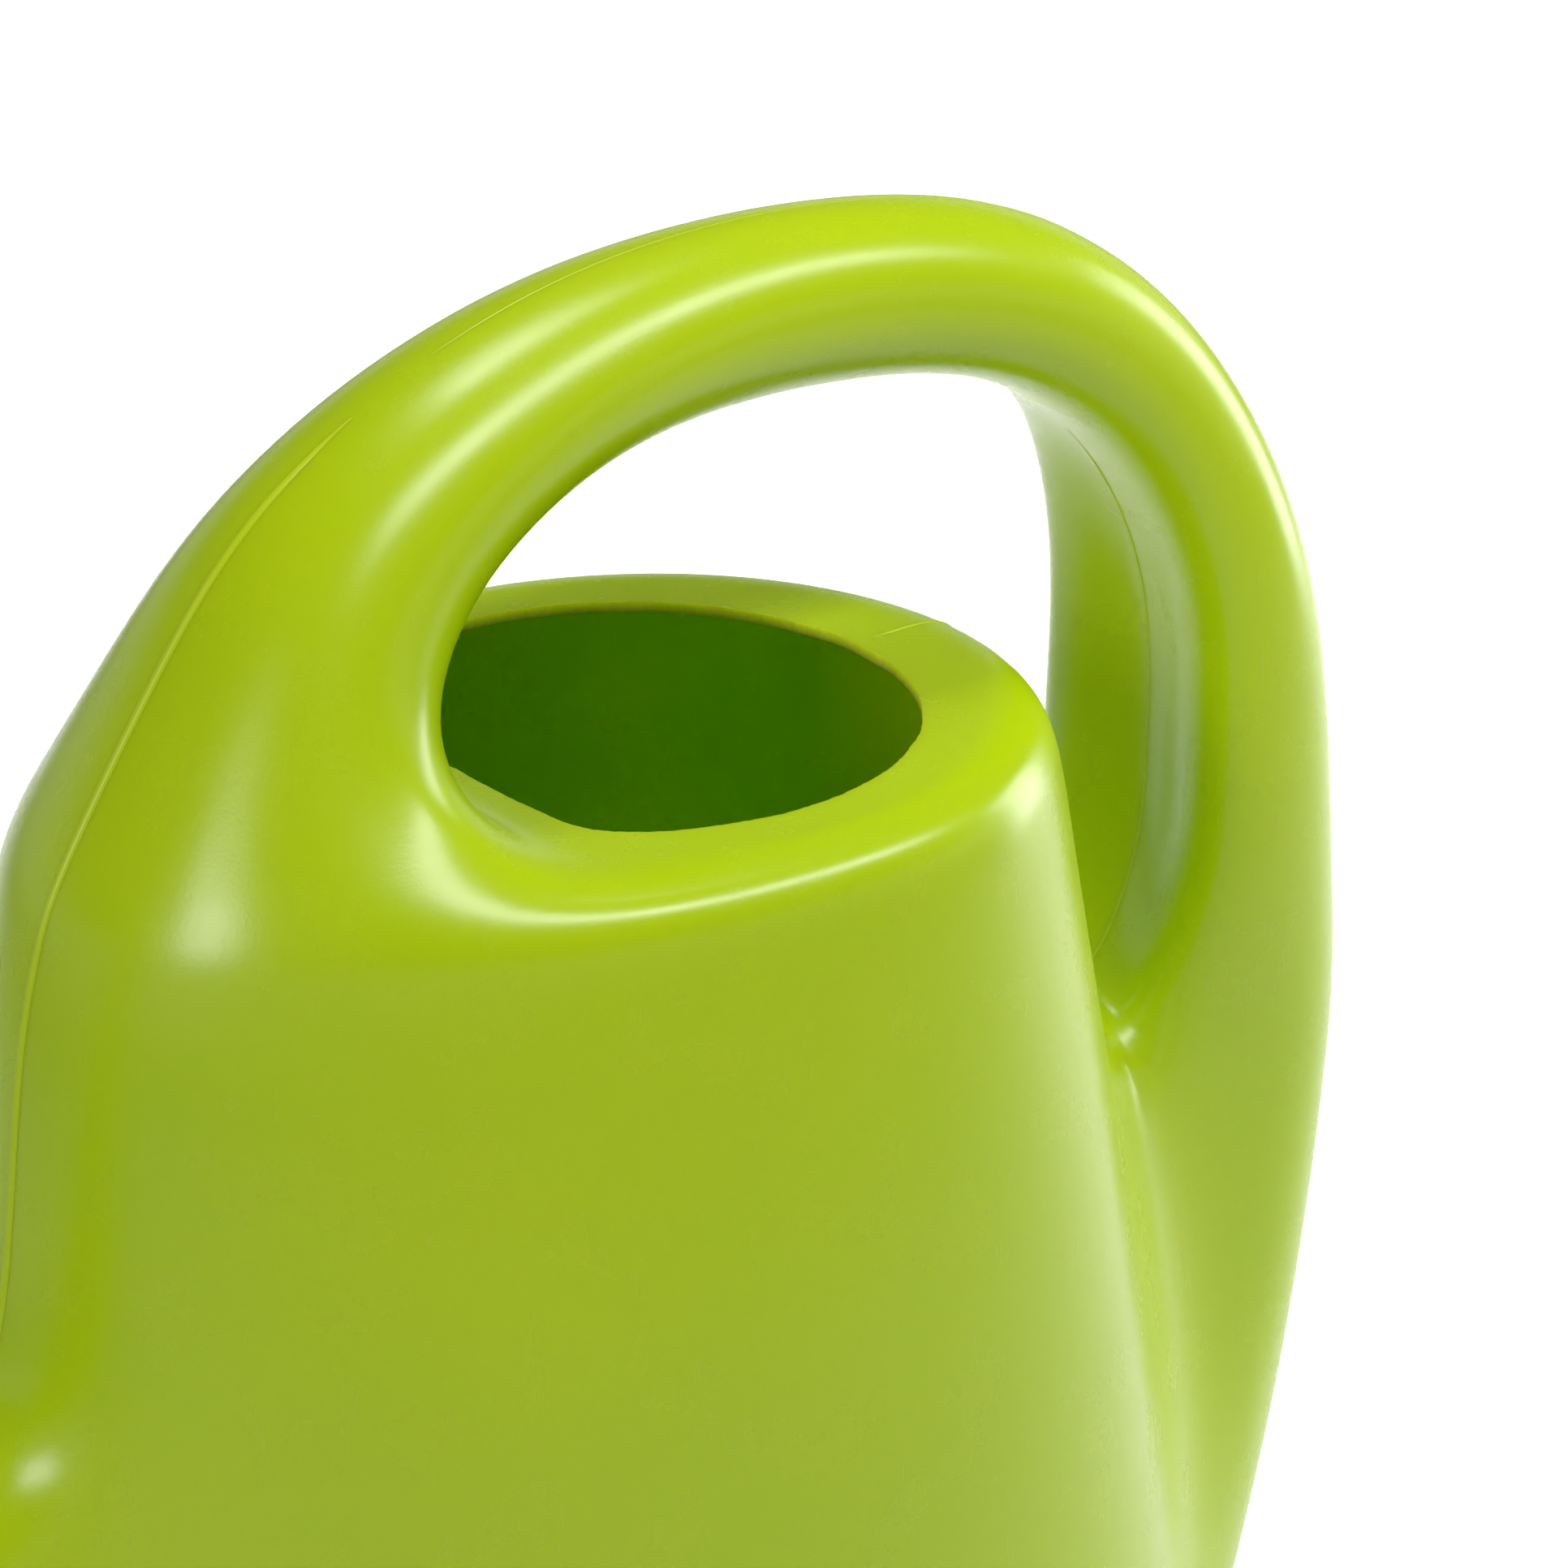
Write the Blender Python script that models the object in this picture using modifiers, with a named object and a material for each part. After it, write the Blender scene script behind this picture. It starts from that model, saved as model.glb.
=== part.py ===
"""Blow-moulded garden watering can with a loop handle and a push-on rose.

The can stands on Z = 0 with its spout towards -X and its handle towards +X.
The Z axis is the axis of the round filler mouth.
"""
import math

import bmesh
import bpy
from mathutils import Matrix, Vector

MM = 0.001

# Driving dimensions of the can, in millimetres.
DECK_Z = 275.0            # filler deck above the ground
WALL = 2.2                # blow-moulded wall
MOUTH_RADIUS = 55.0       # trimmed filler mouth
MOUTH_CHORD = 39.5        # straight front edge of the mouth, ahead of its axis
DECK_RIM = 11.5           # flat rim of the deck around the mouth
GRIP_RADIUS = 16.8        # grip at the top of the loop

# Tank rows from the foot to the deck: height, nose x, back x, half width.
# The upper rows keep their distance to the deck and to the mouth.
FOOT = (0.0, -112.0, 106.0, 80.0)
HEEL = (12.0, -126.0, 116.0, 92.0)
BELLY = (0.255 * DECK_Z, -138.0, 116.0, 97.0)
WAIST = (0.455 * DECK_Z, -143.0, 108.0, 95.0)
SLOT = (DECK_Z - 95.0, -142.0, 98.0, 92.0)
CHEST = (DECK_Z - 60.0, -137.0, MOUTH_RADIUS + 36.0, MOUTH_RADIUS + 32.5)
SHOULDER = (DECK_Z - 30.0, -134.0, MOUTH_RADIUS + 31.0, MOUTH_RADIUS + 27.5)
DECK_SIDE = (DECK_Z - 11.0, -129.0, MOUTH_RADIUS + 28.5, MOUTH_RADIUS + 24.5)
DECK_EDGE = (DECK_Z, -125.0, MOUTH_RADIUS + 24.5, MOUTH_RADIUS + 21.5)

# Below the slot each row ends in the handle's ridge: its crest, the groove
# beside it and the ridge's shoulder, as x or (x, half width).
FOOT_RIDGE = (112.0, (93.0, 40.0), (105.0, 27.0))
HEEL_RIDGE = (127.0, (105.0, 45.0), (118.0, 31.0))
BELLY_RIDGE = (152.0, (110.0, 41.0), (130.0, 34.0))
WAIST_RIDGE = (165.0, (113.0, 24.0), (143.0, 32.0))
SLOT_RIDGE = (171.5, (105.0, 19.0), (151.0, 31.5))
CREST_ROUND = 3.0         # the crest's side line stands back by this much
CREST_SIDE = 0.55         # and is this share of the shoulder's width out
SLOT_BOTTOM = (108.0, DECK_Z - 97.0)
GROOVE_DROP = 9.0         # groove below the slot's bottom
SADDLE = (1.0, 8.0, -2.0) # side of the slot's bottom: outward, half width, up
FOOT_INSET = 0.84         # foot panel inside the foot's edge

# Handle rings from the front leg over the grip and down the rear leg:
# x, height over the deck, tilt of the loop, half depth, half width, and how
# far the section has turned from an ellipse into that of the rear leg.
HANDLE = (
    (-76.5, 20.5, 62.0, 27.2, 35.0, 0.0),
    (-67.0, 40.0, 50.0, 22.5, 28.0, 0.0),
    (-46.0, 57.5, 33.0, 19.0, 24.0, 0.0),
    (-15.0, 70.0, 14.0, 17.0, 21.0, 0.0),
    (18.0, 73.3, 0.0, GRIP_RADIUS, 18.0, 0.0),
    (52.0, 71.5, -10.0, GRIP_RADIUS, 17.5, 0.0),
    (86.0, 64.5, -23.0, GRIP_RADIUS, 19.5, 0.1),
    (113.0, 47.0, -40.0, 17.5, 22.5, 0.3),
    (129.5, 21.5, -60.0, 18.5, 26.5, 0.7),
    (138.5, -7.0, -74.0, 21.0, 28.5, 1.0),
    (140.0, -37.0, -86.0, 24.5, 29.5, 1.0),
    (140.5, -66.0, -96.0, 26.5, 29.5, 1.0),
)
# Rear leg's section, from its outer to its inner line, as shares of the half
# depth and half width: a rounded back, flat flanks and a shallow inner valley.
LEG_SECTION = ((1.0, 0.0), (0.9, 0.66), (0.3, 1.07), (-0.68, 1.05), (-0.68, 0.52), (-0.33, 0.0))
LEG_RISE = 1.0            # soft rise of the deck at the foot of the front leg
LEG_SIDE = 44.0           # half width of that foot
LEG_BOW = 2.0             # its middle stands this much further from the mouth
MOUTH_ALLOWANCE = 1.02    # cage points outside the smooth mouth edge
CORNER_ALLOWANCE = 1.06
MOUTH_SPREAD = (0, 22, 45, 68, 91, 113, 134)

# Spout, from its root to its tip.
SPOUT_TIP_X = -318.0
SPOUT_TIP_Z = DECK_Z + 28.0
SPOUT_TIP_RADIUS = 14.0
SPOUT_TIP_TILT = 50.0     # degrees above the ground
SPOUT_TIP_LENGTH = 34.0   # straight end that the rose pushes on to
# Rings after the root: x, height over the waist row, tilt, half depth and width.
SPOUT_RINGS = (
    (-166.0, 0.0, 8.0, 47.0, 26.0),
    (-202.0, 31.0, 22.0, 34.0, 21.5),
    (-243.0, 81.0, 38.0, 23.5, 18.0),
)
SPOUT_TIP_SHARES = (1.25, 1.0, 0.5, 0.0)

# Rose and its seal.
FIT_GAP = 0.3             # between pieces that touch
SEAL_THICKNESS = 1.6
SEAL_LENGTH = 14.0
ROSE_WALL = 2.0
ROSE_SOCKET_LENGTH = 26.0
ROSE_CONE_LENGTH = 34.0
ROSE_RADIUS = 38.0
ROSE_LIP = 7.0            # straight rim of the rose around its face
FACE_THICKNESS = 1.8
FACE_CROWN = 6.0          # how far the perforated face bulges
HOLE_RADIUS = 1.3
HOLE_LENGTH = 24.0        # length of the drills
HOLE_SIDES = 8
FACE_RINGS = 5            # steps of the face's profile
ROSE_STEPS = 40           # flats round the rose
HOLE_RINGS = ((0.0, 1), (0.25, 6), (0.5, 12), (0.75, 18))  # share of the radius, count
FACE_SEAT_DEPTH = 1.2     # face's edge below the rim
FACE_LEDGE = 1.0          # ledge that the face rests on
CONE_ROUND = 3.0          # soft corners of the cone
CONE_RISE = 4.0           # height of those corners
CONE_STEP = 1.0           # between a corner and the straight part beside it

SUBDIVISION = 1
MERGE = 0.0001


def clear_scene():
    """Remove whatever the scene holds."""
    for obj in list(bpy.data.objects):
        bpy.data.objects.remove(obj, do_unlink=True)


def new_collection(name):
    """Make a collection under the scene's own."""
    collection = bpy.data.collections.new(name)
    bpy.context.scene.collection.children.link(collection)
    return collection


def plastic(name, colour, roughness):
    """Make a plain moulded-plastic or rubber material."""
    material = bpy.data.materials.new(name)
    material.use_nodes = True
    shader = material.node_tree.nodes["Principled BSDF"]
    shader.inputs["Base Color"].default_value = (*colour, 1.0)
    shader.inputs["Roughness"].default_value = roughness
    shader.inputs["Metallic"].default_value = 0.0
    return material


# --- The body: a half cage of named rings, mirrored and subdivided ---------

RING_SWELL_10 = 1.0 / ((4 + 2 * math.cos(math.radians(36))) / 6)
RING_SWELL_8 = 1.0 / ((6 + 2 * math.cos(math.radians(45))) / 8)

# Where the tank's columns stand round the plan, from the nose to the back.
COLUMN_ANGLES = (0, 17, 36, 58, 80, 101, 121, 139, 154, 168, 180)
POLE, SIDE_END = 3, 7


def plan_point(row, angle):
    """Point of a tank row at an angle from the nose, on the -Y side."""
    height, nose, back, half = row
    reach = -nose if angle < 90 else back
    turn = math.radians(angle)
    return Vector((-reach * math.cos(turn), -half * math.sin(turn), height))


def tank_ring(row):
    """Ring of a tank row that is closed at its back, above the slot."""
    return [plan_point(row, angle) for angle in COLUMN_ANGLES]


def ridged_ring(row, ridge):
    """Ring of a tank row below the slot, with the handle's ridge at its back."""
    ring = [plan_point(row, angle) for angle in COLUMN_ANGLES[:SIDE_END + 1]]
    height = row[0]
    crest_x, groove, shoulder = ridge
    ring.append(Vector((groove[0], -groove[1], height)))
    ring.append(Vector((shoulder[0], -shoulder[1], height)))
    ring.append(Vector((crest_x - CREST_ROUND, -shoulder[1] * CREST_SIDE, height)))
    ring.append(Vector((crest_x, 0.0, height)))
    return ring


def handle_ring(x, z, tilt, half_depth, half_width, leg):
    """Half ring of the handle, from its outer line to its inner line."""
    outward = Vector((-math.sin(math.radians(tilt)), 0.0, math.cos(math.radians(tilt))))
    centre = Vector((x, 0.0, DECK_Z + z))
    ring = []
    for step, (leg_deep, leg_wide) in enumerate(LEG_SECTION):
        turn = math.pi * step / (len(LEG_SECTION) - 1)
        deep = (1 - leg) * math.cos(turn) * RING_SWELL_10 + leg * leg_deep
        wide = (1 - leg) * math.sin(turn) * RING_SWELL_10 + leg * leg_wide
        width = Vector((0.0, -half_width * wide, 0.0))
        ring.append(centre + outward * (half_depth * deep) + width)
    ring[0].y = ring[-1].y = 0.0
    return ring


def spout_ring(x, z, tilt, half_depth, half_width):
    """Half ring of the spout, from its top line to its bottom line."""
    turn = math.radians(tilt)
    up = Vector((math.sin(turn), 0.0, math.cos(turn)))
    centre = Vector((x, 0.0, z))
    ring = []
    for step in range(5):
        angle = math.pi * step / 4
        depth = up * (half_depth * RING_SWELL_8 * math.cos(angle))
        width = Vector((0.0, -half_width * RING_SWELL_8 * math.sin(angle), 0.0))
        ring.append(centre + depth + width)
    return ring


def spout_axis():
    """Direction in which the spout's tip points."""
    turn = math.radians(SPOUT_TIP_TILT)
    return Vector((-math.cos(turn), 0.0, math.sin(turn)))


def spout_tip():
    """Centre of the spout's open end."""
    return Vector((SPOUT_TIP_X, 0.0, SPOUT_TIP_Z))


def spout_rings():
    """Rings of the spout after its root, down to the open tip."""
    tip, axis = spout_tip(), spout_axis()
    rings = [spout_ring(x, WAIST[0] + rise, tilt, deep, wide)
             for x, rise, tilt, deep, wide in SPOUT_RINGS]
    for share in SPOUT_TIP_SHARES:
        centre = tip - axis * (SPOUT_TIP_LENGTH * share)
        rings.append(spout_ring(centre.x, centre.z, SPOUT_TIP_TILT,
                                SPOUT_TIP_RADIUS, SPOUT_TIP_RADIUS))
    return rings


class Cage:
    """Half cage on the -Y side, with its faces turned outwards."""

    def __init__(self):
        self.mesh = bmesh.new()

    def ring(self, points):
        """Add a row of vertices."""
        return [self.mesh.verts.new(point * MM) for point in points]

    def vert(self, x, y, z):
        """Add one vertex."""
        return self.mesh.verts.new(Vector((x, y, z)) * MM)

    def face(self, *corners):
        """Add one face."""
        self.mesh.faces.new(corners)

    def strip(self, lower, upper):
        """Join two rows of equal length with quads."""
        for here in range(len(lower) - 1):
            self.face(lower[here], lower[here + 1], upper[here + 1], upper[here])


def build_base(cage, foot):
    """Close the tank's foot with a flat panel."""
    inner = cage.ring([Vector((v.co.x, v.co.y, v.co.z)) / MM * FOOT_INSET for v in foot])
    for vert in inner:
        vert.co.z = foot[0].co.z
        if abs(vert.co.y) < MERGE:
            vert.co.y = 0.0
    cage.strip(inner, foot)
    first, last = 0, len(inner) - 1
    while last - first > 2:
        cage.face(inner[first + 1], inner[first], inner[last], inner[last - 1])
        first, last = first + 1, last - 1


def build_deck(cage, edge, first_handle):
    """Close the tank's top with the deck around the filler mouth."""
    columns = range(POLE, len(COLUMN_ANGLES))
    rim = edge[POLE:]
    flat_radius = MOUTH_RADIUS + DECK_RIM
    cut_radius = MOUTH_RADIUS * MOUTH_ALLOWANCE
    flat, mouth = [], []
    corner_y = -math.sqrt(MOUTH_RADIUS ** 2 - MOUTH_CHORD ** 2)
    for place, column in enumerate(columns):
        if place == 0:
            flat.append(cage.vert(-MOUTH_CHORD - DECK_RIM, -LEG_SIDE, DECK_Z + LEG_RISE))
            mouth.append(cage.vert(-MOUTH_CHORD, corner_y * CORNER_ALLOWANCE, DECK_Z))
            continue
        turn = math.radians(MOUTH_SPREAD[len(columns) - 1 - place])
        x, y = math.cos(turn), -math.sin(turn)
        if column == len(COLUMN_ANGLES) - 1:
            y = 0.0
        flat.append(cage.vert(flat_radius * x, flat_radius * y, DECK_Z))
        mouth.append(cage.vert(cut_radius * x, cut_radius * y, DECK_Z))
    cage.strip(rim, flat)
    cage.strip(flat, mouth)
    flat_centre = cage.vert(-MOUTH_CHORD - DECK_RIM - LEG_BOW, 0.0, DECK_Z + LEG_RISE)
    mouth_centre = cage.vert(-MOUTH_CHORD, 0.0, DECK_Z)
    cage.face(flat_centre, flat[0], mouth[0], mouth_centre)
    outer, inner = first_handle[:4], first_handle[3:]
    cage.strip(edge[:POLE + 1], outer)
    cage.strip([edge[POLE], flat[0], flat_centre], inner)


def build_spout(cage, root):
    """Carry the spout from its root on the nose to its open tip."""
    last = root
    for points in spout_rings():
        ring = cage.ring(points)
        cage.strip(ring, last)
        last = ring


def body_cage():
    """Half cage of the one-piece moulding: tank, deck, handle and spout."""
    cage = Cage()
    foot = cage.ring(ridged_ring(FOOT, FOOT_RIDGE))
    build_base(cage, foot)
    heel = cage.ring(ridged_ring(HEEL, HEEL_RIDGE))
    belly = cage.ring(ridged_ring(BELLY, BELLY_RIDGE))
    waist = cage.ring(ridged_ring(WAIST, WAIST_RIDGE))
    slot = cage.ring(ridged_ring(SLOT, SLOT_RIDGE))
    for lower, upper in ((foot, heel), (heel, belly)):
        cage.strip(lower, upper)
    for lower, upper in ((belly, waist), (waist, slot)):
        cage.strip(lower[1:], upper[1:])
    build_spout(cage, [slot[0], slot[1], waist[1], belly[1], belly[0]])

    groove = slot[SIDE_END + 1]
    groove.co.z = (SLOT_BOTTOM[1] - GROOVE_DROP) * MM
    outward, side, up = SADDLE
    saddle = cage.vert(SLOT_BOTTOM[0] + outward, -side, SLOT_BOTTOM[1] + up)
    bottom = cage.vert(SLOT_BOTTOM[0], 0.0, SLOT_BOTTOM[1])
    chest = cage.ring(tank_ring(CHEST))
    cage.strip(slot[:SIDE_END + 1] + [groove, saddle, bottom], chest)
    shoulder = cage.ring(tank_ring(SHOULDER))
    cage.strip(chest, shoulder)
    high = cage.ring(tank_ring(DECK_SIDE))
    cage.strip(shoulder, high)
    edge = cage.ring(tank_ring(DECK_EDGE))
    cage.strip(high, edge)

    rings = [cage.ring(handle_ring(*place)) for place in HANDLE]
    build_deck(cage, edge, rings[0])
    for lower, upper in zip(rings, rings[1:]):
        cage.strip(lower, upper)
    leg_foot = [slot[-1], slot[-2], slot[-3], groove, saddle, bottom]
    cage.strip(rings[-1], leg_foot)
    return cage.mesh


def add_mesh(name, mesh_data, collection, material):
    """Put a bmesh in the scene as a named object."""
    mesh = bpy.data.meshes.new(name)
    mesh_data.to_mesh(mesh)
    mesh_data.free()
    obj = bpy.data.objects.new(name, mesh)
    obj.data.materials.append(material)
    collection.objects.link(obj)
    return obj


def make_body(collection, material):
    """The one-piece can: tank, deck, loop handle and spout."""
    body = add_mesh("body_shell", body_cage(), collection, material)
    mirror = body.modifiers.new("Symmetry", "MIRROR")
    mirror.use_axis = (False, True, False)
    mirror.use_clip = True
    mirror.merge_threshold = MERGE
    smooth = body.modifiers.new("Form", "SUBSURF")
    smooth.levels = SUBDIVISION
    smooth.render_levels = SUBDIVISION
    wall = body.modifiers.new("Wall", "SOLIDIFY")
    wall.thickness = WALL * MM
    wall.offset = -1.0
    wall.use_even_offset = False
    body.data.shade_smooth()
    return body


# --- The rose and its seal: turned shapes about the spout's axis -----------


def on_spout(distance):
    """Placement on the spout's axis, a distance past the open tip."""
    axis = spout_axis()
    turn = axis.to_track_quat("Z", "X").to_matrix().to_4x4()
    return Matrix.Translation((spout_tip() + axis * distance) * MM) @ turn


def turned(name, profile, collection, material, steps=32):
    """Closed shape turned from a (radius, height) profile about Z."""
    shape = bmesh.new()
    loop = [shape.verts.new((radius * MM, 0.0, height * MM)) for radius, height in profile]
    for here, there in zip(loop, loop[1:] + loop[:1]):
        shape.edges.new((here, there))
    obj = add_mesh(name, shape, collection, material)
    screw = obj.modifiers.new("Turn", "SCREW")
    screw.steps = steps
    screw.render_steps = steps
    screw.use_merge_vertices = True
    screw.merge_threshold = MERGE
    screw.use_smooth_shade = True
    obj.matrix_world = on_spout(0.0)
    return obj


SEAL_INNER = SPOUT_TIP_RADIUS + FIT_GAP
SEAL_OUTER = SEAL_INNER + SEAL_THICKNESS
SOCKET_INNER = SEAL_OUTER + FIT_GAP
SOCKET_OUTER = SOCKET_INNER + ROSE_WALL
SEAL_TOP = -4.0           # below the spout's open end
SEAL_FLANGE = 2.0
SEAL_BOTTOM = SEAL_TOP - SEAL_LENGTH
ROSE_BOTTOM = SEAL_BOTTOM + SEAL_FLANGE + FIT_GAP
ROSE_NECK = ROSE_BOTTOM + ROSE_SOCKET_LENGTH
ROSE_BRIM = ROSE_NECK + ROSE_CONE_LENGTH
ROSE_TOP = ROSE_BRIM + ROSE_LIP
FACE_SEAT = ROSE_TOP - FACE_THICKNESS - FACE_SEAT_DEPTH
FACE_RADIUS = ROSE_RADIUS - ROSE_WALL - FIT_GAP
FACE_LOW = FACE_SEAT + FIT_GAP


def make_seal(collection, material):
    """Rubber sleeve on the spout's tip, with a flange that stops the rose."""
    profile = (
        (SEAL_OUTER, SEAL_TOP),
        (SEAL_OUTER, SEAL_BOTTOM + SEAL_FLANGE),
        (SOCKET_OUTER, SEAL_BOTTOM + SEAL_FLANGE),
        (SOCKET_OUTER, SEAL_BOTTOM),
        (SEAL_INNER, SEAL_BOTTOM),
        (SEAL_INNER, SEAL_TOP),
    )
    return turned("rose_seal", profile, collection, material)


def make_rose_funnel(collection, material):
    """Socket, cone and rim of the rose."""
    bore = ROSE_RADIUS - ROSE_WALL
    profile = (
        (ROSE_RADIUS, ROSE_TOP),
        (ROSE_RADIUS, ROSE_BRIM),
        (ROSE_RADIUS - CONE_ROUND, ROSE_BRIM - CONE_RISE - CONE_STEP),
        (SOCKET_OUTER + CONE_ROUND, ROSE_NECK + CONE_RISE),
        (SOCKET_OUTER, ROSE_NECK - CONE_STEP),
        (SOCKET_OUTER, ROSE_BOTTOM),
        (SOCKET_INNER, ROSE_BOTTOM),
        (SOCKET_INNER, ROSE_NECK),
        (SOCKET_INNER + CONE_ROUND / 2, ROSE_NECK + CONE_RISE + CONE_STEP),
        (bore - CONE_ROUND, ROSE_BRIM - CONE_RISE),
        (bore - FACE_LEDGE, ROSE_BRIM),
        (bore - FACE_LEDGE, FACE_SEAT),
        (bore, FACE_SEAT),
        (bore, ROSE_TOP),
    )
    return turned("rose_funnel", profile, collection, material, steps=ROSE_STEPS)


def dome(share):
    """Height of the face's bulge at a share of its radius."""
    return FACE_CROWN * (1 - share ** 2)


def make_rose_face(collection, cutters, material):
    """Domed face of the rose with its rings of holes."""
    shape = bmesh.new()
    shares = [step / FACE_RINGS for step in range(FACE_RINGS + 1)]
    lower = [(FACE_RADIUS * share, FACE_LOW + dome(share)) for share in shares]
    upper = [(radius, height + FACE_THICKNESS) for radius, height in lower]
    points = [shape.verts.new((radius * MM, 0.0, height * MM))
              for radius, height in upper + lower[::-1]]
    for here, there in zip(points, points[1:]):
        shape.edges.new((here, there))
    face = add_mesh("rose_face", shape, collection, material)
    screw = face.modifiers.new("Turn", "SCREW")
    screw.steps = ROSE_STEPS
    screw.render_steps = ROSE_STEPS
    screw.use_merge_vertices = True
    screw.merge_threshold = MERGE
    screw.use_normal_flip = True
    face.matrix_world = on_spout(0.0)

    drill = bmesh.new()
    for share, count in HOLE_RINGS:
        for index in range(count):
            turn = 2 * math.pi * index / count
            spot = Vector((math.cos(turn), math.sin(turn), 0.0)) * (FACE_RADIUS * share)
            spot.z = FACE_LOW + FACE_CROWN / 2
            bmesh.ops.create_cone(drill, cap_ends=True, segments=HOLE_SIDES,
                                  radius1=HOLE_RADIUS * MM, radius2=HOLE_RADIUS * MM,
                                  depth=HOLE_LENGTH * MM, matrix=Matrix.Translation(spot * MM))
    cutter = add_mesh("hole_cutters", drill, cutters, material)
    cutter.matrix_world = on_spout(0.0)
    cutter.hide_render = True
    cutter.display_type = "WIRE"
    holes = face.modifiers.new("Holes", "BOOLEAN")
    holes.operation = "DIFFERENCE"
    holes.solver = "EXACT"
    holes.object = cutter
    return face


def main():
    """Build every piece of the can."""
    clear_scene()
    parts = new_collection("watering_can")
    cutters = new_collection("cutters")
    lime = plastic("lime_polyethylene", (0.45, 0.56, 0.0), 0.42)
    lime_rose = plastic("lime_rose", (0.43, 0.54, 0.0), 0.38)
    rubber = plastic("black_rubber", (0.02, 0.02, 0.02), 0.7)
    make_body(parts, lime)
    make_seal(parts, rubber)
    make_rose_funnel(parts, lime_rose)
    make_rose_face(parts, cutters, lime_rose)
    bpy.context.view_layer.update()


main()
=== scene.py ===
"""Looks of a lime-green blow-moulded garden watering can and its rose."""
import math

import bmesh
import bpy
from mathutils import Matrix, Vector, noise


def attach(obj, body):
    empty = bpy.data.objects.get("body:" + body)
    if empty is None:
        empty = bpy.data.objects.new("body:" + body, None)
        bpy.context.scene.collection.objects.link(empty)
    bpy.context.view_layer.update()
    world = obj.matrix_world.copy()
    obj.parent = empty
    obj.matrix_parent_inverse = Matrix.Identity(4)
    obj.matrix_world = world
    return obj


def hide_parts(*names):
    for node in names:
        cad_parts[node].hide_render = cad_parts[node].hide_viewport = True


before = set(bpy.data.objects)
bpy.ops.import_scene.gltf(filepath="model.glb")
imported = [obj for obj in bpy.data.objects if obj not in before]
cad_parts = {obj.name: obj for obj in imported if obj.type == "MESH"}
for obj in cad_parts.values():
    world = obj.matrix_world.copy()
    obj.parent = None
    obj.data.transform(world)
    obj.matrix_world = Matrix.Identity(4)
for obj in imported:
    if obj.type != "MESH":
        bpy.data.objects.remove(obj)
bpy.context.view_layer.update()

MM = 0.001
MERGE = 0.00005           # metres, for points that meet in the parting plane

# --- Sizes of the moulding, in millimetres ---------------------------------

DECK_Z = 275.0            # filler deck above the ground
WALL = 2.2                # blow-moulded wall
MOUTH_RADIUS = 55.0       # trimmed filler mouth
MOUTH_CHORD = 39.5        # straight front edge of the mouth, ahead of its axis
DECK_RIM = 11.5           # flat rim of the deck around the mouth
GRIP_RADIUS = 16.8        # grip at the top of the loop

# Tank rows from the foot to the deck: height, nose x, back x, half width.
# The upper rows keep their distance to the deck and to the mouth.
FOOT = (0.0, -112.0, 106.0, 80.0)
HEEL = (12.0, -126.0, 116.0, 92.0)
BELLY = (0.255 * DECK_Z, -138.0, 116.0, 97.0)
WAIST = (0.455 * DECK_Z, -143.0, 108.0, 95.0)
SLOT = (DECK_Z - 95.0, -142.0, 98.0, 92.0)
CHEST = (DECK_Z - 60.0, -137.0, MOUTH_RADIUS + 36.0, MOUTH_RADIUS + 32.5)
SHOULDER = (DECK_Z - 30.0, -134.0, MOUTH_RADIUS + 31.0, MOUTH_RADIUS + 27.5)
DECK_SIDE = (DECK_Z - 11.0, -129.0, MOUTH_RADIUS + 28.5, MOUTH_RADIUS + 24.5)
DECK_EDGE = (DECK_Z, -125.0, MOUTH_RADIUS + 24.5, MOUTH_RADIUS + 21.5)

# Below the slot each row ends in the handle's ridge: its crest, the groove
# beside it and the ridge's shoulder, as x or (x, half width).
FOOT_RIDGE = (112.0, (93.0, 40.0), (105.0, 27.0))
HEEL_RIDGE = (127.0, (105.0, 45.0), (118.0, 31.0))
BELLY_RIDGE = (152.0, (110.0, 41.0), (130.0, 34.0))
WAIST_RIDGE = (165.0, (113.0, 24.0), (143.0, 32.0))
SLOT_RIDGE = (171.5, (105.0, 19.0), (151.0, 31.5))
CREST_ROUND = 3.0         # the crest's side line stands back by this much
CREST_SIDE = 0.55         # and is this share of the shoulder's width out
SLOT_BOTTOM = (108.0, DECK_Z - 97.0)
GROOVE_DROP = 9.0         # groove below the slot's bottom
SADDLE = (1.0, 8.0, -2.0) # side of the slot's bottom: outward, half width, up
FOOT_INSET = 0.84         # foot panel inside the foot's edge

# Handle rings from the front leg over the grip and down the rear leg:
# x, height over the deck, tilt of the loop, half depth, half width, and how
# far the section has turned from an ellipse into that of the rear leg.
HANDLE = (
    (-76.5, 20.5, 62.0, 27.2, 35.0, 0.0),
    (-67.0, 40.0, 50.0, 22.5, 28.0, 0.0),
    (-46.0, 57.5, 33.0, 19.0, 24.0, 0.0),
    (-15.0, 70.0, 14.0, 17.0, 21.0, 0.0),
    (18.0, 73.3, 0.0, GRIP_RADIUS, 18.0, 0.0),
    (52.0, 71.5, -10.0, GRIP_RADIUS, 17.5, 0.0),
    (86.0, 64.5, -23.0, GRIP_RADIUS, 19.5, 0.1),
    (113.0, 47.0, -40.0, 17.5, 22.5, 0.3),
    (129.5, 21.5, -60.0, 18.5, 26.5, 0.7),
    (138.5, -7.0, -74.0, 21.0, 28.5, 1.0),
    (140.0, -37.0, -86.0, 24.5, 29.5, 1.0),
    (140.5, -66.0, -96.0, 26.5, 29.5, 1.0),
)
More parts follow.
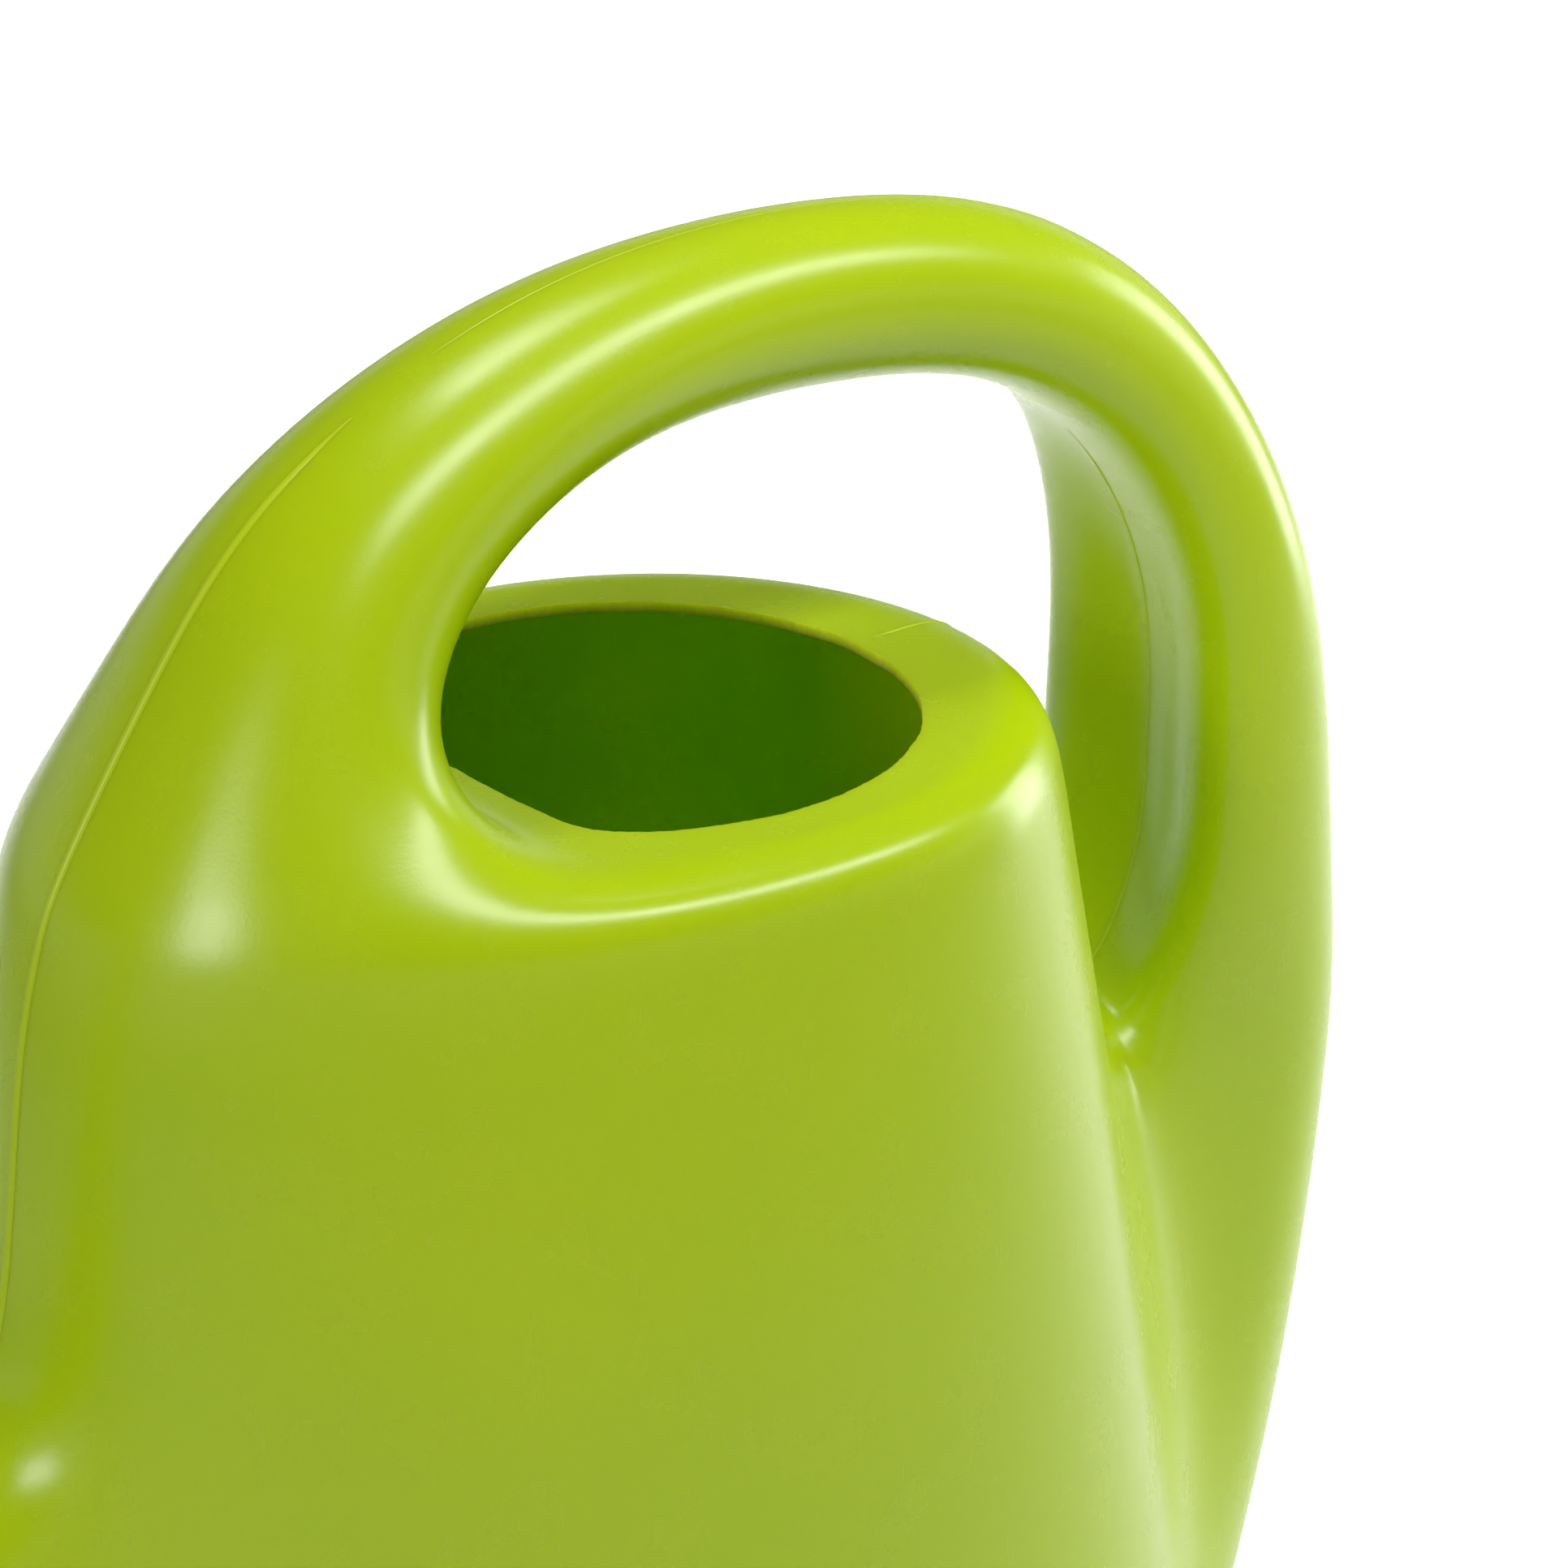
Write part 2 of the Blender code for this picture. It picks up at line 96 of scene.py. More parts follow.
# Rear leg's section, from its outer to its inner line, as shares of the half
# depth and half width: a rounded back, flat flanks and a shallow inner valley.
LEG_SECTION = ((1.0, 0.0), (0.9, 0.66), (0.3, 1.07),
               (-0.68, 1.05), (-0.68, 0.52), (-0.33, 0.0))
LEG_RISE = 1.0            # soft rise of the deck at the foot of the front leg
LEG_SIDE = 44.0           # half width of that foot
LEG_BOW = 2.0             # its middle stands this much further from the mouth
MOUTH_ALLOWANCE = 1.02    # cage points outside the smooth mouth edge
CORNER_ALLOWANCE = 1.06
MOUTH_SPREAD = (0, 22, 45, 68, 91, 113, 134)

# Spout, from its root to its tip.
SPOUT_TIP_X = -318.0
SPOUT_TIP_Z = DECK_Z + 28.0
SPOUT_TIP_RADIUS = 14.0
SPOUT_TIP_TILT = 50.0     # degrees above the ground
SPOUT_TIP_LENGTH = 34.0   # straight end that the rose pushes on to
# Rings after the root: x, height over the waist row, tilt, half depth and width.
SPOUT_RINGS = (
    (-166.0, 0.0, 8.0, 47.0, 26.0),
    (-202.0, 31.0, 22.0, 34.0, 21.5),
    (-243.0, 81.0, 38.0, 23.5, 18.0),
)
SPOUT_TIP_SHARES = (1.25, 1.0, 0.5, 0.0)

RING_SWELL_10 = 1.0 / ((4 + 2 * math.cos(math.radians(36))) / 6)
RING_SWELL_8 = 1.0 / ((6 + 2 * math.cos(math.radians(45))) / 8)

# Where the tank's columns stand round the plan, from the nose to the back.
COLUMN_ANGLES = (0, 17, 36, 58, 80, 101, 121, 139, 154, 168, 180)
POLE, SIDE_END = 3, 7


# --- The moulding's cage: half the can, mirrored and subdivided -------------


def plan_point(row, angle):
    """Point of a tank row at an angle from the nose, on the -Y side."""
    height, nose, back, half = row
    reach = -nose if angle < 90 else back
    turn = math.radians(angle)
    return Vector((-reach * math.cos(turn), -half * math.sin(turn), height))


def tank_ring(row):
    """Ring of a tank row that is closed at its back, above the slot."""
    return [plan_point(row, angle) for angle in COLUMN_ANGLES]


def ridged_ring(row, ridge):
    """Ring of a tank row below the slot, with the handle's ridge at its back."""
    ring = [plan_point(row, angle) for angle in COLUMN_ANGLES[:SIDE_END + 1]]
    height = row[0]
    crest_x, groove, shoulder = ridge
    ring.append(Vector((groove[0], -groove[1], height)))
    ring.append(Vector((shoulder[0], -shoulder[1], height)))
    ring.append(Vector((crest_x - CREST_ROUND, -shoulder[1] * CREST_SIDE, height)))
    ring.append(Vector((crest_x, 0.0, height)))
    return ring


def handle_ring(x, z, tilt, half_depth, half_width, leg):
    """Half ring of the handle, from its outer line to its inner line."""
    outward = Vector((-math.sin(math.radians(tilt)), 0.0, math.cos(math.radians(tilt))))
    centre = Vector((x, 0.0, DECK_Z + z))
    ring = []
    for step, (leg_deep, leg_wide) in enumerate(LEG_SECTION):
        turn = math.pi * step / (len(LEG_SECTION) - 1)
        deep = (1 - leg) * math.cos(turn) * RING_SWELL_10 + leg * leg_deep
        wide = (1 - leg) * math.sin(turn) * RING_SWELL_10 + leg * leg_wide
        width = Vector((0.0, -half_width * wide, 0.0))
        ring.append(centre + outward * (half_depth * deep) + width)
    ring[0].y = ring[-1].y = 0.0
    return ring


def spout_ring(x, z, tilt, half_depth, half_width):
    """Half ring of the spout, from its top line to its bottom line."""
    turn = math.radians(tilt)
    up = Vector((math.sin(turn), 0.0, math.cos(turn)))
    centre = Vector((x, 0.0, z))
    ring = []
    for step in range(5):
        angle = math.pi * step / 4
        depth = up * (half_depth * RING_SWELL_8 * math.cos(angle))
        width = Vector((0.0, -half_width * RING_SWELL_8 * math.sin(angle), 0.0))
        ring.append(centre + depth + width)
    return ring


def spout_axis():
    """Direction in which the spout's tip points."""
    turn = math.radians(SPOUT_TIP_TILT)
    return Vector((-math.cos(turn), 0.0, math.sin(turn)))


def spout_tip():
    """Centre of the spout's open end."""
    return Vector((SPOUT_TIP_X, 0.0, SPOUT_TIP_Z))


def spout_rings():
    """Rings of the spout after its root, down to the open tip."""
    tip, axis = spout_tip(), spout_axis()
    rings = [spout_ring(x, WAIST[0] + rise, tilt, deep, wide)
             for x, rise, tilt, deep, wide in SPOUT_RINGS]
    for share in SPOUT_TIP_SHARES:
        centre = tip - axis * (SPOUT_TIP_LENGTH * share)
        rings.append(spout_ring(centre.x, centre.z, SPOUT_TIP_TILT,
                                SPOUT_TIP_RADIUS, SPOUT_TIP_RADIUS))
    return rings


class Cage:
    """Half cage on the -Y side, with its faces turned outwards."""

    def __init__(self):
        self.mesh = bmesh.new()

    def ring(self, points):
        """Add a row of vertices."""
        return [self.mesh.verts.new(point * MM) for point in points]

    def vert(self, x, y, z):
        """Add one vertex."""
        return self.mesh.verts.new(Vector((x, y, z)) * MM)

    def face(self, *corners):
        """Add one face."""
        self.mesh.faces.new(corners)

    def strip(self, lower, upper):
        """Join two rows of equal length with quads."""
        for here in range(len(lower) - 1):
            self.face(lower[here], lower[here + 1], upper[here + 1], upper[here])


def build_base(cage, foot):
    """Close the tank's foot with a flat panel."""
    inner = cage.ring([Vector((v.co.x, v.co.y, v.co.z)) / MM * FOOT_INSET for v in foot])
    for vert in inner:
        vert.co.z = foot[0].co.z
        if abs(vert.co.y) < MERGE:
            vert.co.y = 0.0
    cage.strip(inner, foot)
    first, last = 0, len(inner) - 1
    while last - first > 2:
        cage.face(inner[first + 1], inner[first], inner[last], inner[last - 1])
        first, last = first + 1, last - 1


def build_deck(cage, edge, first_handle):
    """Close the tank's top with the deck around the filler mouth."""
    columns = range(POLE, len(COLUMN_ANGLES))
    rim = edge[POLE:]
    flat_radius = MOUTH_RADIUS + DECK_RIM
    cut_radius = MOUTH_RADIUS * MOUTH_ALLOWANCE
    flat, mouth = [], []
    corner_y = -math.sqrt(MOUTH_RADIUS ** 2 - MOUTH_CHORD ** 2)
    for place, column in enumerate(columns):
        if place == 0:
            flat.append(cage.vert(-MOUTH_CHORD - DECK_RIM, -LEG_SIDE, DECK_Z + LEG_RISE))
            mouth.append(cage.vert(-MOUTH_CHORD, corner_y * CORNER_ALLOWANCE, DECK_Z))
            continue
        turn = math.radians(MOUTH_SPREAD[len(columns) - 1 - place])
        x, y = math.cos(turn), -math.sin(turn)
        if column == len(COLUMN_ANGLES) - 1:
            y = 0.0
        flat.append(cage.vert(flat_radius * x, flat_radius * y, DECK_Z))
        mouth.append(cage.vert(cut_radius * x, cut_radius * y, DECK_Z))
    cage.strip(rim, flat)
    cage.strip(flat, mouth)
    flat_centre = cage.vert(-MOUTH_CHORD - DECK_RIM - LEG_BOW, 0.0, DECK_Z + LEG_RISE)
    mouth_centre = cage.vert(-MOUTH_CHORD, 0.0, DECK_Z)
    cage.face(flat_centre, flat[0], mouth[0], mouth_centre)
    outer, inner = first_handle[:4], first_handle[3:]
    cage.strip(edge[:POLE + 1], outer)
    cage.strip([edge[POLE], flat[0], flat_centre], inner)


def build_spout(cage, root):
    """Carry the spout from its root on the nose to its open tip."""
    last = root
    for points in spout_rings():
        ring = cage.ring(points)
        cage.strip(ring, last)
        last = ring


def body_cage():
    """Half cage of the one-piece moulding: tank, deck, handle and spout."""
    cage = Cage()
    foot = cage.ring(ridged_ring(FOOT, FOOT_RIDGE))
    build_base(cage, foot)
    heel = cage.ring(ridged_ring(HEEL, HEEL_RIDGE))
    belly = cage.ring(ridged_ring(BELLY, BELLY_RIDGE))
    waist = cage.ring(ridged_ring(WAIST, WAIST_RIDGE))
    slot = cage.ring(ridged_ring(SLOT, SLOT_RIDGE))
    for lower, upper in ((foot, heel), (heel, belly)):
        cage.strip(lower, upper)
    for lower, upper in ((belly, waist), (waist, slot)):
        cage.strip(lower[1:], upper[1:])
    build_spout(cage, [slot[0], slot[1], waist[1], belly[1], belly[0]])

    groove = slot[SIDE_END + 1]
    groove.co.z = (SLOT_BOTTOM[1] - GROOVE_DROP) * MM
    outward, side, up = SADDLE
    saddle = cage.vert(SLOT_BOTTOM[0] + outward, -side, SLOT_BOTTOM[1] + up)
    bottom = cage.vert(SLOT_BOTTOM[0], 0.0, SLOT_BOTTOM[1])
    chest = cage.ring(tank_ring(CHEST))
    cage.strip(slot[:SIDE_END + 1] + [groove, saddle, bottom], chest)
    shoulder = cage.ring(tank_ring(SHOULDER))
    cage.strip(chest, shoulder)
    high = cage.ring(tank_ring(DECK_SIDE))
    cage.strip(shoulder, high)
    edge = cage.ring(tank_ring(DECK_EDGE))
    cage.strip(high, edge)

    rings = [cage.ring(handle_ring(*place)) for place in HANDLE]
    build_deck(cage, edge, rings[0])
    for lower, upper in zip(rings, rings[1:]):
        cage.strip(lower, upper)
    leg_foot = [slot[-1], slot[-2], slot[-3], groove, saddle, bottom]
    cage.strip(rings[-1], leg_foot)
    return cage.mesh


def applied(obj):
    """Turn an object's modifiers into plain mesh, and drop them."""
    graph = bpy.context.evaluated_depsgraph_get()
    mesh = bpy.data.meshes.new_from_object(obj.evaluated_get(graph))
    obj.modifiers.clear()
    obj.data = mesh
    return obj


def place(name, shape):
    """Link a bmesh into the scene as an object at the origin."""
    mesh = bpy.data.meshes.new(name)
    shape.to_mesh(mesh)
    shape.free()
    obj = bpy.data.objects.new(name, mesh)
    bpy.context.scene.collection.objects.link(obj)
    return obj


# --- Materials ---------------------------------------------------------------

LIME = ((0.52, 0.70, 0.001), (0.47, 0.66, 0.001))        # light and dark tone
LIME_ROSE = ((0.48, 0.64, 0.006), (0.45, 0.60, 0.004))
LIME_LINE = ((0.53, 0.69, 0.004), (0.50, 0.66, 0.002))
# pale cut plastic, lightened further as painted light where the mouth's rim lies in shade
CUT_EDGE_PALE_AND_LIT = ((0.66, 0.84, 0.01), (0.78, 0.92, 0.06))
RUBBER = ((0.012, 0.012, 0.012), (0.045, 0.045, 0.042))
SPECK_COLOUR = (0.58, 0.66, 0.16)
LIME_ROUGHNESS = 0.26
LIME_ROSE_ROUGHNESS = 0.30
LIME_LINE_ROUGHNESS = 0.36
HAZE_SWING = 0.03         # roughness above and below the mean
SCUFF_ROUGHNESS = 0.07    # added where the plastic is scuffed
SHEEN = 0.58
PLASTIC_IOR = 1.5
WALL_DEPTH = 0.5          # share of light that enters the moulded wall
CUT_DEPTH = 0.9           # and the knife-cut edge
GLOW_RADIUS = (0.7, 1.0, 0.05)
GLOW_SCALE = 0.006        # metres
SPECK_SCALE = 420.0       # cells per metre
SPECK_SIZE = 0.14
SPECK_CORE = 0.6          # full strength inside this share of a speck
SPECK_SHARE = 0.15
SPECK_RARITY = (0.94, 0.95)

# Noise scales, per metre, and the stretch of the drawn-out ones.
CLOUD_SCALE = 9.0
HAZE_SCALE = 55.0
SCUFF_SCALE = 160.0
SCUFF_STRETCH = (1.0, 1.0, 0.12)
GRAIN_SCALE = 1500.0
RIPPLE_SCALE = 26.0
DRAG_SCALE = 700.0
DRAG_STRETCH = (1.0, 1.0, 0.3)
BLOOM_SCALE = 240.0
RUBBER_GRAIN_SCALE = 1400.0


class Finish:
    """A material's node tree, with short calls to add and join nodes."""

    def __init__(self, name):
        self.material = bpy.data.materials.new(name)
        self.material.use_nodes = True
        self.tree = self.material.node_tree
        self.shader = self.tree.nodes["Principled BSDF"]
        coordinates = self.tree.nodes.new("ShaderNodeTexCoord")
        self.place = coordinates.outputs["Object"]

    def node(self, kind, **settings):
        """Add a node and set its properties."""
        node = self.tree.nodes.new(kind)
        for key, value in settings.items():
            setattr(node, key, value)
        return node

    def link(self, output, target):
        """Join two sockets."""
        self.tree.links.new(output, target)

    def noise(self, scale, detail=3.0, rough=0.5, stretch=(1.0, 1.0, 1.0)):
        """Noise at a scale per metre, stretched along an axis."""
        mapping = self.node("ShaderNodeMapping")
        mapping.inputs["Scale"].default_value = stretch
        self.link(self.place, mapping.inputs["Vector"])
        texture = self.node("ShaderNodeTexNoise")
        texture.inputs["Scale"].default_value = scale
        texture.inputs["Detail"].default_value = detail
        texture.inputs["Roughness"].default_value = rough
        self.link(mapping.outputs["Vector"], texture.inputs["Vector"])
        return texture.outputs["Fac"]

    def spots(self, scale, size):
        """Sparse round spots: 1 inside a spot, 0 between them."""
        texture = self.node("ShaderNodeTexVoronoi", feature="F1")
        texture.inputs["Scale"].default_value = scale
        self.link(self.place, texture.inputs["Vector"])
        near = self.ramp(texture.outputs["Distance"], size * SPECK_CORE, size, 1.0, 0.0)
        split = self.node("ShaderNodeSeparateColor")
        self.link(texture.outputs["Color"], split.inputs["Color"])
        rare = self.ramp(split.outputs["Red"], *SPECK_RARITY, 0.0, 1.0)
        both = self.node("ShaderNodeMath", operation="MULTIPLY")
        self.link(near, both.inputs[0])
        self.link(rare, both.inputs[1])
        return both.outputs["Value"]

    def ramp(self, value, low, high, out_low, out_high):
        """Map a value from one range to another."""
        node = self.node("ShaderNodeMapRange")
        for socket, number in (("From Min", low), ("From Max", high),
                               ("To Min", out_low), ("To Max", out_high)):
            node.inputs[socket].default_value = number
        self.link(value, node.inputs["Value"])
        return node.outputs["Result"]

    def mix(self, share, first, second):
        """Mix two colours."""
        node = self.node("ShaderNodeMix", data_type="RGBA")
        self.link(share, node.inputs["Factor"])
        for socket, colour in (("A", first), ("B", second)):
            target = [s for s in node.inputs if s.name == socket and s.type == "RGBA"][0]
            if isinstance(colour, tuple):
                target.default_value = (*colour, 1.0)
            else:
                self.link(colour, target)
        return [s for s in node.outputs if s.type == "RGBA"][0]

    def bump(self, height, strength, distance, after=None):
        """Raise the surface by a height, in millimetres at most."""
        node = self.node("ShaderNodeBump")
        node.inputs["Strength"].default_value = strength
        node.inputs["Distance"].default_value = distance * MM
        self.link(height, node.inputs["Height"])
        if after is not None:
            self.link(after, node.inputs["Normal"])
        return node.outputs["Normal"]


def see_into(finish, share):
    """Let light into the thin wall: green travels furthest in it."""
    finish.shader.inputs["Subsurface Weight"].default_value = share
    finish.shader.inputs["Subsurface Radius"].default_value = GLOW_RADIUS
    finish.shader.inputs["Subsurface Scale"].default_value = GLOW_SCALE


def lime_plastic(name, tones, roughness, depth=WALL_DEPTH):
    """Satin through-coloured polyethylene, with moulding grain and handling marks."""
    finish = Finish(name)
    light, dark = tones
    cloud = finish.noise(CLOUD_SCALE, 4.0)
    tone = finish.ramp(cloud, 0.3, 0.7, 0.0, 1.0)
    colour = finish.mix(tone, dark, light)
    specks = finish.spots(SPECK_SCALE, SPECK_SIZE)
    faint = finish.ramp(specks, 0.0, 1.0, 0.0, SPECK_SHARE)
    colour = finish.mix(faint, colour, SPECK_COLOUR)
    finish.link(colour, finish.shader.inputs["Base Color"])

    haze = finish.noise(HAZE_SCALE, 5.0, 0.6)
    scuffs = finish.noise(SCUFF_SCALE, 6.0, 0.7, SCUFF_STRETCH)
    even = finish.ramp(haze, 0.3, 0.7, roughness - HAZE_SWING, roughness + HAZE_SWING)
    worn = finish.ramp(scuffs, 0.62, 0.75, 0.0, SCUFF_ROUGHNESS)
    total = finish.node("ShaderNodeMath", operation="ADD")
    finish.link(even, total.inputs[0])
    finish.link(worn, total.inputs[1])
    finish.link(total.outputs["Value"], finish.shader.inputs["Roughness"])

    grain = finish.bump(finish.noise(GRAIN_SCALE, 2.0), 0.28, 0.06)
    ripple = finish.bump(finish.noise(RIPPLE_SCALE, 2.0), 0.30, 0.35, grain)
    nicks = finish.bump(specks, 0.15, 0.05, ripple)
    finish.link(nicks, finish.shader.inputs["Normal"])
    finish.shader.inputs["Specular IOR Level"].default_value = SHEEN
    finish.shader.inputs["IOR"].default_value = PLASTIC_IOR
    see_into(finish, depth)
    return finish.material


def cut_plastic():
    """Knife-trimmed edge of the mouth: paler cut plastic, made lighter still as painted light
    on the shaded rim, rougher, with drag marks.
    """
    finish = Finish("knife_cut_edge")
    drag = finish.noise(DRAG_SCALE, 4.0, 0.6, DRAG_STRETCH)
    share = finish.ramp(drag, 0.35, 0.65, 0.0, 1.0)
    # the cut's pale tones include painted light for the shaded rim
    colour = finish.mix(share, *CUT_EDGE_PALE_AND_LIT)
    finish.link(colour, finish.shader.inputs["Base Color"])
    finish.link(finish.ramp(drag, 0.3, 0.7, 0.45, 0.7), finish.shader.inputs["Roughness"])
    finish.link(finish.bump(drag, 0.4, 0.15), finish.shader.inputs["Normal"])
    see_into(finish, CUT_DEPTH)
    return finish.material


def seal_rubber():
    """Matt black rubber with a dusty bloom."""
    finish = Finish("seal_rubber")
    bloom = finish.noise(BLOOM_SCALE, 5.0, 0.6)
    share = finish.ramp(bloom, 0.4, 0.75, 0.0, 1.0)
    colour = finish.mix(share, *RUBBER)
    finish.link(colour, finish.shader.inputs["Base Color"])
    finish.link(finish.ramp(bloom, 0.3, 0.7, 0.55, 0.8), finish.shader.inputs["Roughness"])
    grain = finish.bump(finish.noise(RUBBER_GRAIN_SCALE, 2.0), 0.4, 0.08)
    finish.link(grain, finish.shader.inputs["Normal"])
    return finish.material


# --- The moulding --------------------------------------------------------------

FORM_LEVELS = 3
EDGE_CUTS = 5             # extra points along each edge of the trimmed mouth
CUT_WAVER = 0.35          # how far the knife strays, in millimetres
SWAY_SCALE = 6.0          # slow waver of the cut
BURR_SCALE = 55.0         # fine burr on it
BURR_SHARE = 0.55
CORNER_POWER = 14.0       # how sharply the round meets the straight front edge
RIM_BAND = 4.0            # the mouth's edge lies within this height of the deck
RIM_FRONT_X = -0.1        # metres; the spout's open tip lies beyond it
CAN_CREASE = 50           # degrees; steeper edges are shaded sharp


def knife_line(point):
    """Nearest point of the mouth's trimmed outline, with the knife's waver."""
    flat = Vector((point.x, point.y, 0.0)) / MM
    angle = math.atan2(flat.y, flat.x)
    reach = MOUTH_RADIUS
    toward_front = -math.cos(angle)
    if toward_front > 0:
        chord = MOUTH_CHORD / toward_front
        reach = (reach ** -CORNER_POWER + chord ** -CORNER_POWER) ** (-1.0 / CORNER_POWER)
    direction = flat.normalized()
    sway = noise.noise(direction * SWAY_SCALE) * CUT_WAVER
    burr = noise.noise(direction * BURR_SCALE) * CUT_WAVER * BURR_SHARE
    return direction * (reach + sway + burr) * MM


def trim_mouth(shape):
    """Bring the mouth's open edge on to the knife line, with more points in it."""
    def at_mouth(edge):
        middle = (edge.verts[0].co + edge.verts[1].co) / 2
        near_deck = abs(middle.z - DECK_Z * MM) < RIM_BAND * MM
        return edge.is_boundary and near_deck and middle.x > RIM_FRONT_X

    rim = [edge for edge in shape.edges if at_mouth(edge)]
    bmesh.ops.subdivide_edges(shape, edges=rim, cuts=EDGE_CUTS)
    rim = [edge for edge in shape.edges if at_mouth(edge)]
    corners = {vert for edge in rim for vert in edge.verts}
    for vert in corners:
        height = vert.co.z
        vert.co = knife_line(vert.co)
        vert.co.z = height


def plane_chains(shape):
    """Chains of edges that lie in the parting plane, as (point, normal) lists."""
    on_plane = {edge for edge in shape.edges
                if all(abs(vert.co.y) < MERGE for vert in edge.verts)}
    links = {}
    for edge in on_plane:
        for vert, other in (edge.verts, reversed(edge.verts)):
            links.setdefault(vert, []).append(other)
    chains = []
    starts = sorted((v for v, ends in links.items() if len(ends) == 1), key=lambda v: v.co.x)
    used = set()
    for start in starts:
        if start in used:
            continue
        chain, here, last = [start], start, None
        used.add(start)
        while True:
            ahead = [v for v in links[here] if v is not last]
            if not ahead:
                break
            last, here = here, ahead[0]
            chain.append(here)
            used.add(here)
        chains.append([(v.co.copy(), v.normal.copy()) for v in chain])
    return chains


def make_can(lime, cut):
    """The one-piece moulding, its wall, and the lines of its parting plane."""
    can = place("can_moulding", body_cage())
    mirror = can.modifiers.new("Symmetry", "MIRROR")
    mirror.use_axis = (False, True, False)
    mirror.use_clip = True
    mirror.merge_threshold = MERGE
    form = can.modifiers.new("Form", "SUBSURF")
    form.levels = FORM_LEVELS
    form.render_levels = FORM_LEVELS
    applied(can)

    shape = bmesh.new()
    shape.from_mesh(can.data)
    shape.normal_update()
    chains = plane_chains(shape)
    trim_mouth(shape)
    shape.to_mesh(can.data)
    shape.free()

    can.data.materials.append(lime)
    can.data.materials.append(cut)
    wall = can.modifiers.new("Wall", "SOLIDIFY")
    wall.thickness = WALL * MM
    wall.offset = -1.0
    wall.material_offset_rim = 1
    applied(can)
    can.data.shade_smooth()
    can.data.set_sharp_from_angle(angle=math.radians(CAN_CREASE))
    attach(can, "can")
    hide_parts("body_shell")
    return chains


# --- Parting line ----------------------------------------------------------------

# How far each line stands proud and its bead's radius, in millimetres.
FRONT_RIDGE = (0.7, 1.1)
GRIP_LINE = (0.10, 0.55)
INNER_LINE = (0.22, 0.5)
RIDGE_END_X = -0.058      # metres; the ridge passes into the grip's fine line
INNER_LINE_X = 0.055      # metres; the inner line starts behind the mouth
INNER_LINE_RISE = 36      # and ends this far above the deck
BEAD_SIDES = 10
FADE_POINTS = 6.0         # points over which a bead sinks in at its ends
FADE_SINK = 0.06


def bead_tree(material):
    """Geometry nodes that run a round bead along a chain of edges."""
    tree = bpy.data.node_groups.new("parting_bead", "GeometryNodeTree")
    face = tree.interface
    face.new_socket("Geometry", in_out="INPUT", socket_type="NodeSocketGeometry")
    face.new_socket("Bead radius", in_out="INPUT", socket_type="NodeSocketFloat")
    face.new_socket("Sides", in_out="INPUT", socket_type="NodeSocketInt")
    face.new_socket("Geometry", in_out="OUTPUT", socket_type="NodeSocketGeometry")
    entry = tree.nodes.new("NodeGroupInput")
    leave = tree.nodes.new("NodeGroupOutput")
    path = tree.nodes.new("GeometryNodeMeshToCurve")
    ring = tree.nodes.new("GeometryNodeCurvePrimitiveCircle")
    sweep = tree.nodes.new("GeometryNodeCurveToMesh")
    real = tree.nodes.new("GeometryNodeRealizeInstances")
    paint = tree.nodes.new("GeometryNodeSetMaterial")
    paint.inputs["Material"].default_value = material
    sweep.inputs["Fill Caps"].default_value = True
    links = tree.links
    links.new(entry.outputs["Geometry"], path.inputs["Mesh"])
    links.new(entry.outputs["Bead radius"], ring.inputs["Radius"])
    links.new(entry.outputs["Sides"], ring.inputs["Resolution"])
    links.new(path.outputs["Curve"], sweep.inputs["Curve"])
    links.new(ring.outputs["Curve"], sweep.inputs["Profile Curve"])
    links.new(sweep.outputs["Mesh"], real.inputs["Geometry"])
    links.new(real.outputs["Geometry"], paint.inputs["Geometry"])
    links.new(paint.outputs["Geometry"], leave.inputs["Geometry"])
    return tree


def set_inputs(modifier, **values):
    """Set a geometry nodes modifier's inputs by their socket names."""
    for item in modifier.node_group.interface.items_tree:
        key = item.name.replace(" ", "_")
        if item.in_out == "INPUT" and key in values:
            modifier[item.identifier] = values[key]


def make_bead(name, points, proud, radius, material):
    """A fine raised line along points of the surface, sunk in so that it stands proud."""
    shape = bmesh.new()
    count = len(points)
    verts = []
    for index, (point, normal) in enumerate(points):
        fade = min(1.0, index / FADE_POINTS, (count - 1 - index) / FADE_POINTS)
        depth = radius - proud * fade + FADE_SINK * (1.0 - fade)
        verts.append(shape.verts.new(point - normal * depth * MM))
    for here, there in zip(verts, verts[1:]):
        shape.edges.new((here, there))
    bead = place(name, shape)
    sweep = bead.modifiers.new("Bead", "NODES")
    sweep.node_group = bead_tree(material)
    set_inputs(sweep, Bead_radius=radius * MM, Sides=BEAD_SIDES)
    applied(bead)
    bead.data.shade_smooth()
    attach(bead, "can")


def make_parting_lines(chains, lime):
    """Ridges that the two halves of the mould leave round the can."""
    outer, inner = sorted(chains, key=len, reverse=True)
    if outer[0][0].z < outer[-1][0].z:
        outer = outer[::-1]
    top = next(index for index, (point, _) in enumerate(outer)
               if point.x > RIDGE_END_X and point.z > DECK_Z * MM)
    make_bead("parting_ridge_front", outer[:top + 1], *FRONT_RIDGE, lime)
    make_bead("parting_line_grip", outer[top:], *GRIP_LINE, lime)
    highest = (DECK_Z + INNER_LINE_RISE) * MM
    rear_rim = [(point, normal) for point, normal in inner
                if point.x > INNER_LINE_X and point.z < highest]
    make_bead("parting_line_inside", rear_rim, *INNER_LINE, lime)


# --- Rose ------------------------------------------------------------------------

